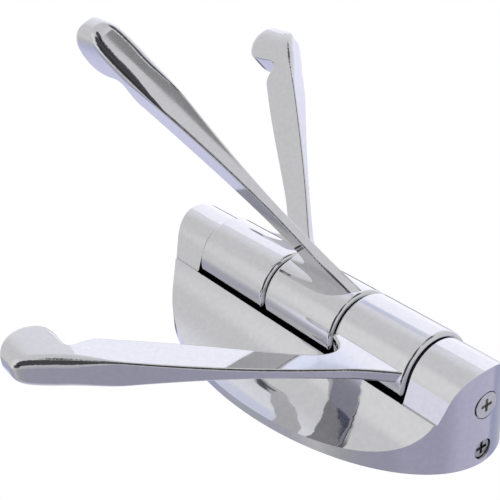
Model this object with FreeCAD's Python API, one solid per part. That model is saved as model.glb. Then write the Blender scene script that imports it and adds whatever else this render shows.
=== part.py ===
import FreeCAD, Part
import math
import os

# Folding wall hook: three arms that swing about one upright barrel on an oval back plate.
# Millimetres. +Z is up in use, the wall is the plane Y = 0 and the hook stands out towards -Y.
# The origin is midway between the wall bracket's two holes, on the wall.

V = FreeCAD.Vector
UP = V(0, 0, 1)
OUT = V(0, -1, 0)
SIDE = V(1, 0, 0)

# Oval back plate
plate_height = 93.8
plate_width = 50.6
rim_depth = 2.0
shoulder_run = 4.6
flank_drop = 1.9
fold_inset = 0.6
fold_step = 0.5
rim_swell = 0.4

# Barrel
axis_offset = 13.4
sleeve_radius = 9.0
middle_sleeve_extra = 2.0
upper_sleeve_extra = 4.2
sleeve_edge = 1.0
lower_lug_height = 12.0
upper_lug_height = 13.0
lug_radius = 8.1
trough_gap = 0.9
washer_thickness = 0.4
washer_radius = 7.4
axial_play = 0.05

# Pivot screw, from below into the upper lug
pivot_radius = 2.3
running_gap = 0.05
pivot_thread_length = 8.0
thread_end_gap = 0.3
pivot_head_radius = 2.7
pivot_head_height = 1.6
head_gap = 0.2
cross_length = 2.8
cross_width = 0.7
cross_depth = 0.9

# Arms: a blade that rises from the sleeve's foot, seen from the side along its own slope
arm_slope = 45.8
arm_length = 86.0
arm_start = 5.5
arm_offset = 3.2
neck_depth = 6.4
neck_place = 30.0
bump_depth = 8.6
bump_setback = 21.5
notch_depth = 5.5
notch_setback = 16.0
root_run = 13.0
nose_length = 7.0
nose_blunt = 0.35
throat_run = 4.0
throat_rise = 3.6
saddle_run = 2.2
saddle_drop = 0.8
bulb_depth = 13.2
tip_height = 7.2
flare_setback = 12.6
flare_place = 15.0
root_half_thickness = 1.3
neck_half_thickness = 1.1
bump_half_thickness = 2.9
tip_half_thickness = 3.9
neck_run = 22.0
bump_run_setback = 42.0
blade_round = 0.5
bulb_round = 2.2
round_setback = 28.0

# How far each arm is turned from straight out, towards the hook's -X side
lower_arm_angle = 95.0
middle_arm_angle = 23.5
upper_arm_angle = -50.0

# Wall bracket inside the back plate, and the screw that locks the plate to it
bracket_thickness = 1.4
bracket_width = 16.0
bracket_flange = 5.4
bracket_gap = 0.2
trough_end_wall = 1.4
flange_clearance = 1.3
lip_length = 2.2
wall_hole_spacing = 36.0
wall_hole_radius = 2.1
wall_hole_lead = 0.5
lock_screw_radius = 1.6
lock_screw_offset = 3.2
lock_head_radius = 2.0
lock_head_height = 2.0
lock_head_depth = 0.5

# Hollow back of the plate
hollow_half_width = 16.5
hollow_depth = 4.8
hollow_inset = 12.0
hollow_ramp = 2.2
hollow_end_wall = 9.0

half_height = plate_height / 2
half_width = plate_width / 2
trough_radius = sleeve_radius + trough_gap
bore_radius = pivot_radius + running_gap
washer_space = washer_thickness + 2 * axial_play
barrel_length = plate_height - lower_lug_height - upper_lug_height
sleeves_length = barrel_length - 4 * washer_space
lower_sleeve_length = (sleeves_length - middle_sleeve_extra - upper_sleeve_extra) / 3
middle_sleeve_length = lower_sleeve_length + middle_sleeve_extra
upper_sleeve_length = lower_sleeve_length + upper_sleeve_extra
barrel_low = -half_height + lower_lug_height
foot_lower = barrel_low + washer_space
foot_middle = foot_lower + lower_sleeve_length + washer_space
foot_upper = foot_middle + middle_sleeve_length + washer_space
barrel_high = foot_upper + upper_sleeve_length + washer_space
flange_start = max(barrel_high, -barrel_low) + trough_end_wall
bracket_height = 2 * (flange_start + flange_clearance + bracket_thickness)
flare_depth = lower_sleeve_length - flare_setback
bump_place = arm_length - bump_setback
notch_place = arm_length - notch_setback
round_start = arm_length - round_setback
bump_run = arm_length - bump_run_setback
axis_point = V(0, -axis_offset, 0)


def cylinder_up(radius, low, high):
    return Part.makeCylinder(radius, high - low, axis_point + UP * low, UP)


def box(x, y, z):
    corner = V(x[0], y[0], z[0])
    return Part.makeBox(x[1] - x[0], y[1] - y[0], z[1] - z[0], corner)


def curve(points, start=None, end=None):
    spline = Part.BSplineCurve()
    if start is None:
        spline.interpolate(points)
    else:
        spline.interpolate(Points=points, InitialTangent=start, FinalTangent=end)
    return spline.toShape()


def line(a, b):
    return Part.LineSegment(a, b).toShape()


def oval_prism(inset, depth):
    edge = Part.Ellipse(V(0, 0, half_height - inset), V(half_width - inset, 0, 0), V(0, 0, 0))
    face = Part.Face(Part.Wire([edge.toShape()]))
    prism = face.extrude(OUT * depth)
    return prism


def plate_section():
    # Cross-section of plate and lug: thin rim, shoulder rising to the fold, flank up to the lug's round
    fold_x = trough_radius - fold_inset
    fold_y = axis_offset - flank_drop
    reach = math.hypot(fold_x, fold_y - axis_offset)
    turn = math.acos(lug_radius / reach)
    lean = math.atan2(fold_y - axis_offset, fold_x)
    touch = lean + turn
    touch_x = lug_radius * math.cos(touch)
    touch_y = axis_offset + lug_radius * math.sin(touch)
    rim_x = half_width + 1
    sides = []
    for sign in (1, -1):
        rim_foot = V(sign * rim_x, 0, -half_height - 1)
        rim_top = V(sign * rim_x, -rim_depth, -half_height - 1)
        knee = V(sign * (fold_x + shoulder_run), -rim_depth - rim_swell, -half_height - 1)
        step = V(sign * (fold_x + fold_step), -fold_y, -half_height - 1)
        fold = V(sign * fold_x, -fold_y, -half_height - 1)
        crest = V(sign * touch_x, -touch_y, -half_height - 1)
        shoulder = Part.BezierCurve()
        shoulder.setPoles([rim_top, knee, step])
        flank = [line(rim_foot, rim_top), shoulder.toShape(), line(step, fold), line(fold, crest)]
        sides.append((rim_foot, crest, flank))
    right, left = sides
    top = V(0, -axis_offset - lug_radius, -half_height - 1)
    arc = Part.Arc(right[1], top, left[1]).toShape()
    edges = [line(left[0], right[0])] + right[2] + [arc] + left[2]
    return Part.Face(Part.Wire(Part.__sortEdges__(edges)))


def hollow_back():
    # Shallow under the trough, deeper under the two shoulders
    low = -half_height
    shelf = bracket_thickness + bracket_gap
    inner = bracket_width / 2 + bracket_gap
    points = []
    for sign in (1, -1):
        half = [
            V(sign * hollow_half_width, 1, low),
            V(sign * hollow_half_width, 0, low),
            V(sign * hollow_inset, -hollow_depth, low),
            V(sign * (inner + hollow_ramp), -hollow_depth, low),
            V(sign * inner, -shelf, low),
        ]
        if sign == -1:
            half.reverse()
        points += half
    wire = Part.makePolygon(points + [points[0]])
    channel = Part.Face(wire).extrude(UP * plate_height)
    channel = channel.common(oval_prism(hollow_end_wall, hollow_depth + 1))
    return channel


def cross_recess(height, y):
    # Cross-shaped driver recess, cut upwards into a head whose outer face is at this height
    slots = []
    for span_x, span_y in ((cross_length, cross_width), (cross_width, cross_length)):
        slot_x = (-span_x / 2, span_x / 2)
        slot_y = (y - span_y / 2, y + span_y / 2)
        slots.append(box(slot_x, slot_y, (height, height + cross_depth)))
    return slots[0].fuse(slots[1])


def make_body():
    body = plate_section().extrude(UP * (plate_height + 2))
    body = body.common(oval_prism(0, axis_offset + lug_radius + 5))
    trough = cylinder_up(trough_radius, barrel_low, barrel_high)
    slot = box(
        (-trough_radius, trough_radius),
        (-axis_offset - 2 * trough_radius, -axis_offset),
        (barrel_low, barrel_high),
    )
    body = body.cut(trough.fuse(slot))
    body = body.cut(hollow_back())

    # Channel for the bracket's strap, and pockets in the lugs for its two flanges
    flange_end = bracket_height / 2 + bracket_gap
    flange_half = bracket_width / 2 + bracket_gap
    pocket_depth = bracket_flange + bracket_gap
    strap_depth = bracket_thickness + bracket_gap
    body = body.cut(box((-flange_half, flange_half), (-strap_depth, 1), (-flange_end, flange_end)))
    for low, high in ((-flange_end, -flange_start), (flange_start, flange_end)):
        body = body.cut(box((-flange_half, flange_half), (-pocket_depth, 1), (low, high)))
    lip_top = -bracket_flange - bracket_gap
    lip_low = -bracket_flange + bracket_thickness + bracket_gap
    body = body.cut(
        box(
            (-flange_half, flange_half),
            (lip_top, lip_low),
            (flange_end - 0.5, flange_end + lip_length + bracket_gap),
        )
    )

    # Screw holes on the barrel axis and near the wall
    bore_end = barrel_high + pivot_thread_length + thread_end_gap
    body = body.cut(cylinder_up(bore_radius, -half_height - 1, bore_end))
    head_seat = -half_height + pivot_head_height
    body = body.cut(cylinder_up(pivot_head_radius + head_gap, -half_height - 1, head_seat))
    lock_axis = V(0, -lock_screw_offset, -half_height - 1)
    lock_run = half_height + 1 - bracket_height / 2
    body = body.cut(Part.makeCylinder(lock_screw_radius + running_gap, lock_run, lock_axis, UP))
    lock_seat = 1 + lock_head_depth + lock_head_height
    body = body.cut(Part.makeCylinder(lock_head_radius + head_gap, lock_seat, lock_axis, UP))
    return body


def along(place, depth):
    # Point of the arm's side view: place along its lower edge, depth above it
    slope = math.radians(arm_slope)
    run = arm_start + place * math.cos(slope) - depth * math.sin(slope)
    height = place * math.sin(slope) + depth * math.cos(slope)
    return V(0, -axis_offset - run, height)


def quarter_round(a, b, centre):
    radius = (a - centre).Length
    middle = centre + ((a + b) * 0.5 - centre).normalize() * radius
    return Part.Arc(a, middle, b).toShape()


def arm_side(sleeve_length):
    slope = math.radians(arm_slope)
    climb = V(0, -math.cos(slope), math.sin(slope))
    back = climb * -1
    inside = sleeve_radius / 2
    foot = V(0, -axis_offset - inside, sleeve_edge)
    heel = V(0, -axis_offset - sleeve_radius + 1, sleeve_edge)
    low_start = along(root_run, 0)
    low_middle = along(round_start, 0)
    low_end = along(arm_length - tip_height, 0)
    tip = along(arm_length, tip_height)
    crown_radius = bulb_depth - tip_height
    crown = along(arm_length - crown_radius, bulb_depth)
    throat = along(notch_place + throat_run, notch_depth + throat_rise)
    notch = along(notch_place, notch_depth)
    saddle = along(bump_place + saddle_run, bump_depth - saddle_drop)
    bump = along(bump_place, bump_depth)
    neck = along(neck_place, neck_depth)
    flare = along(flare_place, flare_depth)
    shoulder = V(0, -axis_offset - sleeve_radius, sleeve_length - sleeve_edge)
    head = V(0, -axis_offset - inside, sleeve_length - sleeve_edge)
    edges = [
        line(foot, heel),
        curve([heel, low_start], V(0, -0.6, 0.8), climb),
        line(low_start, low_middle),
        line(low_middle, low_end),
        quarter_round(low_end, tip, along(arm_length - tip_height, tip_height)),
        quarter_round(tip, crown, along(arm_length - crown_radius, tip_height)),
        curve([crown, throat, notch], back, back),
        curve([notch, saddle, bump], back, back),
        curve([bump, neck, flare, shoulder], back, V(0, 0.35, 1)),
        line(shoulder, head),
        line(head, foot),
    ]
    return Part.Face(Part.Wire(edges))


def arm_plan(sleeve_length):
    # One half, seen from above: thin at the root, thick and rounded at the tip, its nose a little blunt
    tip_centre = along(arm_length - tip_height, tip_height)
    reach = -axis_offset - tip_centre.y + tip_height - nose_blunt
    runs = [
        (sleeve_radius / 4, root_half_thickness),
        (sleeve_radius, root_half_thickness),
        (neck_run, neck_half_thickness),
        (bump_run, bump_half_thickness),
        (reach - nose_length, tip_half_thickness),
    ]
    side = [V(half, -axis_offset - run, -1) for run, half in runs]
    start = V(0, side[0].y, -1)
    nose = V(0, -axis_offset - reach, -1)
    edges = [
        line(start, side[0]),
        line(side[0], side[1]),
        curve(side[1:], OUT, OUT),
        curve([side[-1], nose], OUT * nose_length, SIDE * -nose_length),
        line(nose, start),
    ]
    face = Part.Face(Part.Wire(edges))
    return face.extrude(UP * (arm_length + sleeve_length))


def edge_near(shape, x, point):
    target = V(x, point.y, point.z)
    return min(shape.Edges, key=lambda edge: (edge.CenterOfMass - target).Length)


def make_blade(sleeve_length):
    # Half a blade, its edges rounded more towards the bulb, then mirrored
    half = arm_side(sleeve_length).extrude(SIDE * 2 * sleeve_radius)
    half = half.common(arm_plan(sleeve_length)).Solids[0]
    low_place = (round_start + arm_length - tip_height) / 2
    low_edge = edge_near(half, tip_half_thickness, along(low_place, 0))
    half = half.makeFillet(bulb_round, blade_round, [low_edge])
    top_edge = edge_near(half, tip_half_thickness, along(notch_place + throat_run, notch_depth + throat_rise))
    half = half.makeFillet(blade_round, bulb_round, [top_edge])
    other = half.mirror(V(0, 0, 0), SIDE)
    return half.fuse(other).removeSplitter()


def make_arm(foot_height, sleeve_length, angle):
    blade = make_blade(sleeve_length)
    blade.translate(SIDE * arm_offset)
    sleeve = cylinder_up(sleeve_radius, 0, sleeve_length)
    rims = [edge for edge in sleeve.Edges if edge.Curve.TypeId == "Part::GeomCircle"]
    sleeve = sleeve.makeFillet(sleeve_edge, rims)
    arm = sleeve.fuse(blade)
    arm = arm.cut(cylinder_up(bore_radius, -1, sleeve_length + 1))
    arm.rotate(axis_point, UP, -angle)
    arm.translate(UP * foot_height)
    return arm


def make_pivot_screw():
    low = -half_height
    high = barrel_high + pivot_thread_length
    head = cylinder_up(pivot_head_radius, low, low + pivot_head_height)
    shaft = cylinder_up(pivot_radius, low, high)
    screw = head.fuse(shaft)
    return screw.cut(cross_recess(low, -axis_offset)).removeSplitter()


def make_lock_screw():
    low = -half_height + lock_head_depth
    high = -bracket_height / 2 - axial_play
    base = V(0, -lock_screw_offset, low)
    head = Part.makeCylinder(lock_head_radius, lock_head_height, base, UP)
    shaft = Part.makeCylinder(lock_screw_radius, high - low, base, UP)
    screw = head.fuse(shaft)
    return screw.cut(cross_recess(low, -lock_screw_offset)).removeSplitter()


def make_washer(height):
    disc = cylinder_up(washer_radius, height, height + washer_thickness)
    return disc.cut(cylinder_up(bore_radius, height - 1, height + washer_thickness + 1))


def make_bracket():
    half = bracket_width / 2
    end = bracket_height / 2
    strap = box((-half, half), (-bracket_thickness, 0), (-end, end))
    lower = box((-half, half), (-bracket_flange, 0), (-end, -end + bracket_thickness))
    upper = box((-half, half), (-bracket_flange, 0), (end - bracket_thickness, end))
    lip_face = -bracket_flange + bracket_thickness
    lip = box((-half, half), (-bracket_flange, lip_face), (end - bracket_thickness, end + lip_length))
    bracket = strap.fuse([lower, upper, lip])
    lead_radius = wall_hole_radius + wall_hole_lead
    for side in (-1, 1):
        base = V(0, -bracket_thickness, side * wall_hole_spacing / 2)
        lead = Part.makeCone(lead_radius, wall_hole_radius, wall_hole_lead, base, OUT * -1)
        hole = Part.makeCylinder(wall_hole_radius, bracket_thickness + 1, base, OUT * -1)
        bracket = bracket.cut(hole.fuse(lead))
    return bracket.removeSplitter()


pieces = {
    "body": make_body(),
    "lower_arm": make_arm(foot_lower, lower_sleeve_length, lower_arm_angle),
    "middle_arm": make_arm(foot_middle, middle_sleeve_length, middle_arm_angle),
    "upper_arm": make_arm(foot_upper, upper_sleeve_length, upper_arm_angle),
    "pivot_screw": make_pivot_screw(),
    "lock_screw": make_lock_screw(),
    "wall_bracket": make_bracket(),
    "bottom_washer": make_washer(barrel_low + axial_play),
    "lower_washer": make_washer(foot_lower + lower_sleeve_length + axial_play),
    "upper_washer": make_washer(foot_middle + middle_sleeve_length + axial_play),
    "top_washer": make_washer(foot_upper + upper_sleeve_length + axial_play),
}

os.makedirs("parts", exist_ok=True)
for name, shape in pieces.items():
    shape.exportStep("parts/" + name + ".step")
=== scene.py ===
import math

import bpy
from mathutils import Matrix, Vector

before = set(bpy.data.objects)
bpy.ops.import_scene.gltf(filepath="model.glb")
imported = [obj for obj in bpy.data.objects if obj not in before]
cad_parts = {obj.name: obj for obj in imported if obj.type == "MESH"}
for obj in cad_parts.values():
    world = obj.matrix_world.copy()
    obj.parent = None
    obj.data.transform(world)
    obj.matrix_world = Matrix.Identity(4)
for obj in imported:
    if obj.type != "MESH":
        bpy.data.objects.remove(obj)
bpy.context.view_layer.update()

# Metres, in the part's own frame: +Z is up, the wall is Y = 0 and the hook stands out towards -Y

# The stretch of a noise over which a colour or a roughness changes
NOISE_START = 0.3
NOISE_END = 0.7

# Chrome: its colour wanders between two greys, with a faint haze and a very slight waviness
CHROME_DARK = (0.56, 0.56, 0.57, 1)
CHROME_PALE = (0.60, 0.60, 0.61, 1)
CHROME_GRAIN = 900
HAZE_GRAIN = 120
HAZE_GROWTH = 1.9
HAZE_START = 0.35
HAZE_END = 0.75
WAVE_GRAIN = 45
WAVE_DEPTH = 0.0006

# Brushed steel: its grain is stretched tenfold along Z
BRUSH_STRETCH = (1, 1, 0.1)
STEEL_SHADE = 0.8
STEEL_ROUGHENING = 1.6
STEEL_BUMP = 0.15

# Black plastic washers
WASHER_GREYS = (0.012, 0.03)
WASHER_GRAIN = 700
WASHER_ROUGHNESS = 0.45
WASHER_BUMP = 0.2

# Depth of the grain in steel and plastic
GRAIN_DEPTH = 0.0001

# Pale floor
FLOOR_HEIGHT = -0.30
FLOOR_HALF = 12.0
FLOOR_GREYS = (0.885, 0.9)
FLOOR_GRAIN = 30
FLOOR_ROUGHNESS = 0.7

# Grey board in front of and below the hook, which the middle arm's underside reflects
BOARD_TOP = Vector((-0.042, -0.309, -0.040))
BOARD_FOOT = Vector((-0.010, -0.254, -0.125))
BOARD_WIDTH = Vector((0.060, 0, 0))
BOARD_GREYS = (0.40, 0.44)
BOARD_GRAIN = 60
BOARD_ROUGHNESS = 0.8

# What matt surfaces see all round, and what the camera sees
PLAIN_GREY = 0.9
BACKDROP_GREY = 1.0

# What metal reflects: a pale room, here from straight down (0) to straight up (1)
ROOM = [
    (0.0, (0.90, 0.90, 0.95, 1)),
    (0.3, (0.97, 0.97, 0.98, 1)),
    (0.5, (0.88, 0.88, 0.89, 1)),
    (0.85, (0.91, 0.91, 0.93, 1)),
    (1.0, (0.90, 0.90, 0.91, 1)),
]

# Soft-edged cards in that room: turn, lift, inner and outer angle, tint that multiplies the room
CARDS = [
    (180, -40, 45, 70, (0.74, 0.73, 0.90, 1)),
    (128, -28, 25, 55, (0.76, 0.75, 0.76, 1)),
    (140, 38, 13, 30, (0.62, 0.63, 0.72, 1)),
    (66, 30, 10, 26, (1.18, 1.17, 1.16, 1)),
    (25, -8, 12, 19, (0.12, 0.12, 0.13, 1)),
    (-26, 39, 2, 7, (0.80, 0.84, 0.94, 1)),
    (-22, -4, 12, 18, (0.15, 0.15, 0.16, 1)),
    (-132, 46, 14, 22, (0.22, 0.22, 0.25, 1)),
    (66, -10, 20, 29, (0.10, 0.10, 0.11, 1)),
    (94, 4, 11, 17, (0.12, 0.12, 0.13, 1)),
    (102, 32, 8, 13, (1.22, 1.21, 1.36, 1)),
    (36, -24, 9, 15, (0.14, 0.14, 0.15, 1)),
    (130, -8, 8, 22, (0.86, 0.88, 0.88, 1)),
    (-129, -2, 10, 22, (0.64, 0.67, 0.80, 1)),
    (-65, 44, 28, 54, (1.24, 1.24, 1.31, 1)),
    (178, 52, 14, 26, (0.90, 0.91, 1.16, 1)),
    (-92, 10, 8, 20, (1.10, 1.10, 1.22, 1)),
]

# Bright box, aimed at the hook
KEY_TURN = -65
KEY_LIFT = 42
KEY_DISTANCE = 1.2
KEY_SIZE = (1.25, 0.72)
KEY_POWER = 1.0
KEY_COLOUR = (0.80, 0.81, 1.0)

# Camera below, in front and to the left, as in the photo; its lens and sensor are in millimetres
CAMERA_PLACE = (-0.11321, -0.12126, -0.13535)
CAMERA_RIGHT = (0.79915, 0.05354, -0.59868)
CAMERA_UP = (0.31886, -0.88218, 0.34665)
CAMERA_BACK = (-0.50957, -0.46798, -0.72207)
CAMERA_LENS = 67.7
CAMERA_SENSOR = 36.0
CAMERA_NEAR = 0.01
CAMERA_FAR = 20.0


def grey(value):
    return (value, value, value, 1)


def new_material(name):
    material = bpy.data.materials.new(name)
    material.use_nodes = True
    nodes = material.node_tree.nodes
    links = material.node_tree.links
    nodes.clear()
    output = nodes.new("ShaderNodeOutputMaterial")
    shader = nodes.new("ShaderNodeBsdfPrincipled")
    links.new(shader.outputs["BSDF"], output.inputs["Surface"])
    return material, nodes, links, shader


def add_noise(nodes, links, scale, detail, stretch=(1, 1, 1)):
    place = nodes.new("ShaderNodeTexCoord")
    mapping = nodes.new("ShaderNodeMapping")
    mapping.inputs["Scale"].default_value = stretch
    links.new(place.outputs["Object"], mapping.inputs["Vector"])
    noise = nodes.new("ShaderNodeTexNoise")
    noise.inputs["Scale"].default_value = scale
    noise.inputs["Detail"].default_value = detail
    links.new(mapping.outputs["Vector"], noise.inputs["Vector"])
    return noise.outputs["Fac"]


def add_ramp(nodes, links, source, stops):
    ramp = nodes.new("ShaderNodeValToRGB")
    elements = ramp.color_ramp.elements
    elements[0].position, elements[0].color = stops[0]
    elements[1].position, elements[1].color = stops[-1]
    for position, colour in stops[1:-1]:
        elements.new(position).color = colour
    links.new(source, ramp.inputs["Fac"])
    return ramp.outputs["Color"]


def add_spread(nodes, links, noise, low, high, start=NOISE_START, end=NOISE_END):
    return add_ramp(nodes, links, noise, [(start, low), (end, high)])


def add_bump(nodes, links, shader, source, strength, distance):
    bump = nodes.new("ShaderNodeBump")
    bump.inputs["Strength"].default_value = strength
    bump.inputs["Distance"].default_value = distance
    links.new(source, bump.inputs["Height"])
    links.new(bump.outputs["Normal"], shader.inputs["Normal"])


def chrome(name, roughness, waviness):
    material, nodes, links, shader = new_material(name)
    shader.inputs["Metallic"].default_value = 1.0
    grain = add_noise(nodes, links, CHROME_GRAIN, 5)
    tint = add_spread(nodes, links, grain, CHROME_DARK, CHROME_PALE)
    links.new(tint, shader.inputs["Base Color"])
    haze = add_noise(nodes, links, HAZE_GRAIN, 6)
    clear, hazy = grey(roughness), grey(roughness * HAZE_GROWTH)
    spread = add_spread(nodes, links, haze, clear, hazy, HAZE_START, HAZE_END)
    links.new(spread, shader.inputs["Roughness"])
    wave = add_noise(nodes, links, WAVE_GRAIN, 1)
    add_bump(nodes, links, shader, wave, waviness, WAVE_DEPTH)
    return material


def steel(name, colour, scale, roughness):
    material, nodes, links, shader = new_material(name)
    shader.inputs["Metallic"].default_value = 1.0
    grain = add_noise(nodes, links, scale, 6, BRUSH_STRETCH)
    dark = tuple(value * STEEL_SHADE for value in colour) + (1,)
    tint = add_spread(nodes, links, grain, dark, colour + (1,))
    links.new(tint, shader.inputs["Base Color"])
    spread = add_spread(nodes, links, grain, grey(roughness), grey(roughness * STEEL_ROUGHENING))
    links.new(spread, shader.inputs["Roughness"])
    add_bump(nodes, links, shader, grain, STEEL_BUMP, GRAIN_DEPTH)
    return material


def matt(name, greys, scale, detail, roughness, bump=0):
    material, nodes, links, shader = new_material(name)
    grain = add_noise(nodes, links, scale, detail)
    dark, pale = greys
    tint = add_spread(nodes, links, grain, grey(dark), grey(pale))
    links.new(tint, shader.inputs["Base Color"])
    shader.inputs["Roughness"].default_value = roughness
    if bump:
        add_bump(nodes, links, shader, grain, bump, GRAIN_DEPTH)
    return material


def plastic(name):
    return matt(name, WASHER_GREYS, WASHER_GRAIN, 4, WASHER_ROUGHNESS, WASHER_BUMP)


def assign(material, *names):
    for name in names:
        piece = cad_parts[name]
        if not piece.material_slots:
            piece.data.materials.append(material)
        for slot in piece.material_slots:
            slot.material = material


def add_quad(name, corners, material):
    mesh = bpy.data.meshes.new(name)
    mesh.from_pydata(corners, [], [(0, 1, 2, 3)])
    mesh.materials.append(material)
    quad = bpy.data.objects.new(name, mesh)
    bpy.context.scene.collection.objects.link(quad)
    return quad


def add_floor():
    # Metal doesn't reflect it: the lower half of the room takes its place
    signs = [(-1, -1), (1, -1), (1, 1), (-1, 1)]
    corners = [(x * FLOOR_HALF, y * FLOOR_HALF, FLOOR_HEIGHT) for x, y in signs]
    material = matt("pale_floor", FLOOR_GREYS, FLOOR_GRAIN, 3, FLOOR_ROUGHNESS)
    floor = add_quad("floor", corners, material)
    floor.visible_glossy = False


def add_board():
    # Only reflections see it
    corners = [BOARD_TOP, BOARD_FOOT, BOARD_FOOT + BOARD_WIDTH, BOARD_TOP + BOARD_WIDTH]
    material = matt("grey_board", BOARD_GREYS, BOARD_GRAIN, 3, BOARD_ROUGHNESS)
    board = add_quad("grey_board", corners, material)
    board.visible_camera = False
    board.visible_diffuse = False
    board.visible_shadow = False


def bearing(turn, lift):
    # Unit vector: turn in degrees from -Y towards -X, lift in degrees above the horizon
    turn, lift = math.radians(turn), math.radians(lift)
    flat = math.cos(lift)
    return Vector((-math.sin(turn) * flat, -math.cos(turn) * flat, math.sin(lift)))


def nearness(nodes, links, place, direction, inner, outer):
    # 1 within the inner angle of a direction, 0 beyond the outer one
    dot = nodes.new("ShaderNodeVectorMath")
    dot.operation = "DOT_PRODUCT"
    dot.inputs[1].default_value = direction
    links.new(place.outputs["Generated"], dot.inputs[0])
    span = nodes.new("ShaderNodeMapRange")
    span.interpolation_type = "SMOOTHSTEP"
    span.inputs["From Min"].default_value = math.cos(math.radians(outer))
    span.inputs["From Max"].default_value = math.cos(math.radians(inner))
    links.new(dot.outputs["Value"], span.inputs["Value"])
    return span.outputs["Result"]


def add_room_colour(nodes, links):
    place = nodes.new("ShaderNodeTexCoord")
    height = nearness(nodes, links, place, Vector((0, 0, 1)), 0, 180)
    colour = add_ramp(nodes, links, height, ROOM)
    for turn, lift, inner, outer, tint in CARDS:
        card = nodes.new("ShaderNodeMix")
        card.data_type = "RGBA"
        card.blend_type = "MULTIPLY"
        share = nearness(nodes, links, place, bearing(turn, lift), inner, outer)
        links.new(share, card.inputs["Factor"])
        links.new(colour, card.inputs["A"])
        card.inputs["B"].default_value = tint
        colour = card.outputs["Result"]
    return colour


def add_background(nodes, value):
    background = nodes.new("ShaderNodeBackground")
    background.inputs["Color"].default_value = grey(value)
    return background.outputs["Background"]


def add_room(nodes, links):
    background = nodes.new("ShaderNodeBackground")
    links.new(add_room_colour(nodes, links), background.inputs["Color"])
    return background.outputs["Background"]


def mix_shaders(nodes, links, factor, without, within):
    mix = nodes.new("ShaderNodeMixShader")
    links.new(factor, mix.inputs["Fac"])
    links.new(without, mix.inputs[1])
    links.new(within, mix.inputs[2])
    return mix.outputs["Shader"]


def add_world():
    # Diffuse rays see plain grey, glossy and transmitted ones the room, the camera white
    world = bpy.data.worlds.new("studio")
    world.use_nodes = True
    bpy.context.scene.world = world
    nodes, links = world.node_tree.nodes, world.node_tree.links
    nodes.clear()
    output = nodes.new("ShaderNodeOutputWorld")
    path = nodes.new("ShaderNodeLightPath")
    sharp = nodes.new("ShaderNodeMath")
    sharp.operation = "MAXIMUM"
    links.new(path.outputs["Is Glossy Ray"], sharp.inputs[0])
    links.new(path.outputs["Is Transmission Ray"], sharp.inputs[1])
    plain = add_background(nodes, PLAIN_GREY)
    room = add_room(nodes, links)
    backdrop = add_background(nodes, BACKDROP_GREY)
    lit = mix_shaders(nodes, links, sharp.outputs["Value"], plain, room)
    seen = mix_shaders(nodes, links, path.outputs["Is Camera Ray"], lit, backdrop)
    links.new(seen, output.inputs["Surface"])


def add_key_light():
    place = bearing(KEY_TURN, KEY_LIFT) * KEY_DISTANCE
    data = bpy.data.lights.new("key", "AREA")
    data.shape = "RECTANGLE"
    data.size, data.size_y = KEY_SIZE
    data.energy = KEY_POWER
    data.color = KEY_COLOUR
    lamp = bpy.data.objects.new("key", data)
    lamp.location = place
    lamp.rotation_mode = "QUATERNION"
    lamp.rotation_quaternion = (-place).to_track_quat("-Z", "Y")
    lamp.visible_camera = False
    bpy.context.scene.collection.objects.link(lamp)


def add_camera():
    data = bpy.data.cameras.new("camera")
    data.lens = CAMERA_LENS
    data.sensor_width = CAMERA_SENSOR
    data.clip_start = CAMERA_NEAR
    data.clip_end = CAMERA_FAR
    camera = bpy.data.objects.new("camera", data)
    turn = Matrix((CAMERA_RIGHT, CAMERA_UP, CAMERA_BACK)).transposed()
    camera.rotation_mode = "QUATERNION"
    camera.rotation_quaternion = turn.to_quaternion()
    camera.location = CAMERA_PLACE
    bpy.context.scene.collection.objects.link(camera)
    bpy.context.scene.camera = camera


assign(chrome("body_chrome", roughness=0.035, waviness=0.10), "body")
assign(chrome("arm_chrome", roughness=0.03, waviness=0.12), "lower_arm", "middle_arm", "upper_arm")
assign(steel("screw_steel", colour=(0.74, 0.74, 0.68), scale=500, roughness=0.28), "pivot_screw")
assign(steel("dark_steel", colour=(0.48, 0.48, 0.46), scale=500, roughness=0.28), "lock_screw")
assign(steel("bracket_steel", colour=(0.46, 0.47, 0.46), scale=300, roughness=0.38), "wall_bracket")
assign(plastic("washer_plastic"), "bottom_washer", "lower_washer", "upper_washer", "top_washer")
add_floor()
add_board()
add_world()
add_key_light()
add_camera()

bpy.context.scene.view_settings.view_transform = "Standard"
